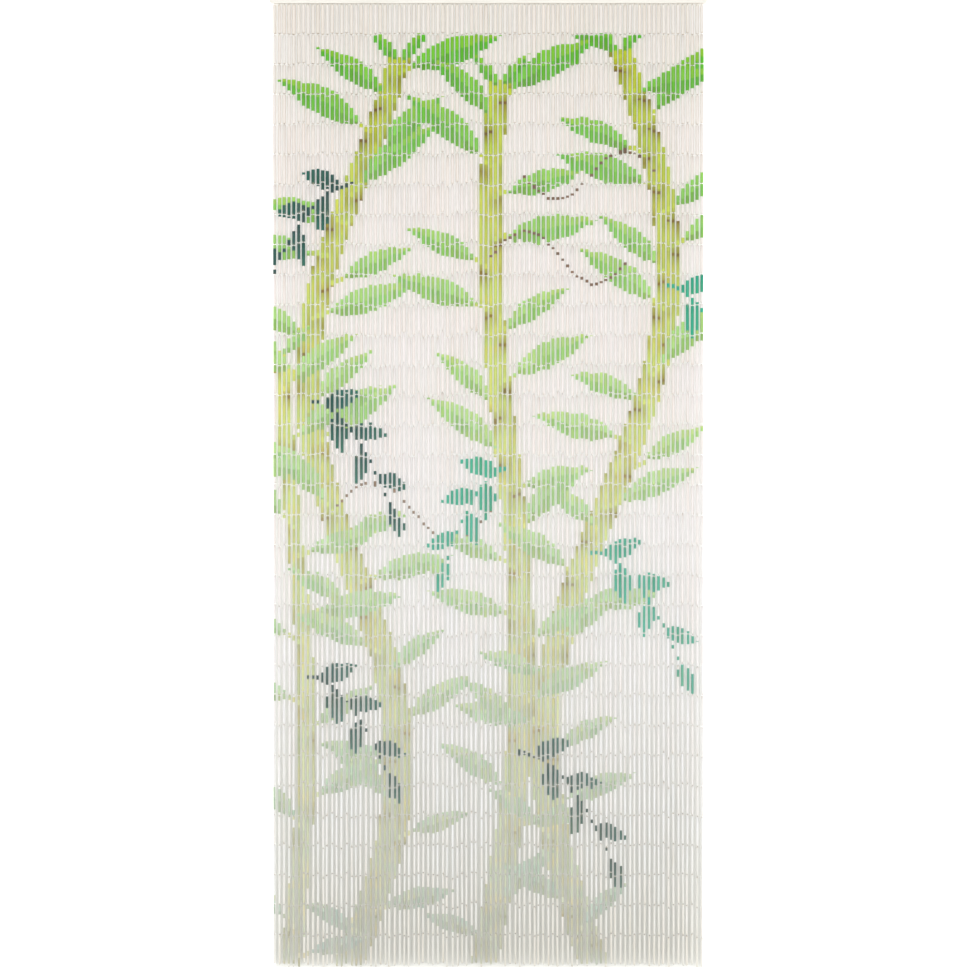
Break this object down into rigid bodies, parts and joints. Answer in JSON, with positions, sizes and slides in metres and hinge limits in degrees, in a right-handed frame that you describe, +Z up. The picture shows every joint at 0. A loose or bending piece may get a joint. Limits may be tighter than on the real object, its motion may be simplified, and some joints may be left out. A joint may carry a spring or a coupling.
{
  "type": "bamboo bead door curtain on a head rail",
  "caption": "Door curtain of long strands of painted bamboo tubes, linked end to end, hanging side by side from a slim wooden head rail.",
  "frame": {"origin": "centre of the head rail's flat back face, where it is fixed to the wall or frame over the doorway", "axes": "+Z up, +Y towards the wall, the front faces -Y, +X to the right seen from the front"},
  "size_m": [0.905, 0.018, 2.008],
  "materials": {
    "rail_wood": "cream white paint, satin",
    "bamboo_tubes": "ivory paint with plants painted over it in lime, olive, pale green and teal, satin",
    "link_wire": "galvanised wire, dull bright"
  },
  "bodies": {
    "root": {"head_rail": "rail_wood", "bead_strands": "bamboo_tubes"}
  },
  "joints": []
}
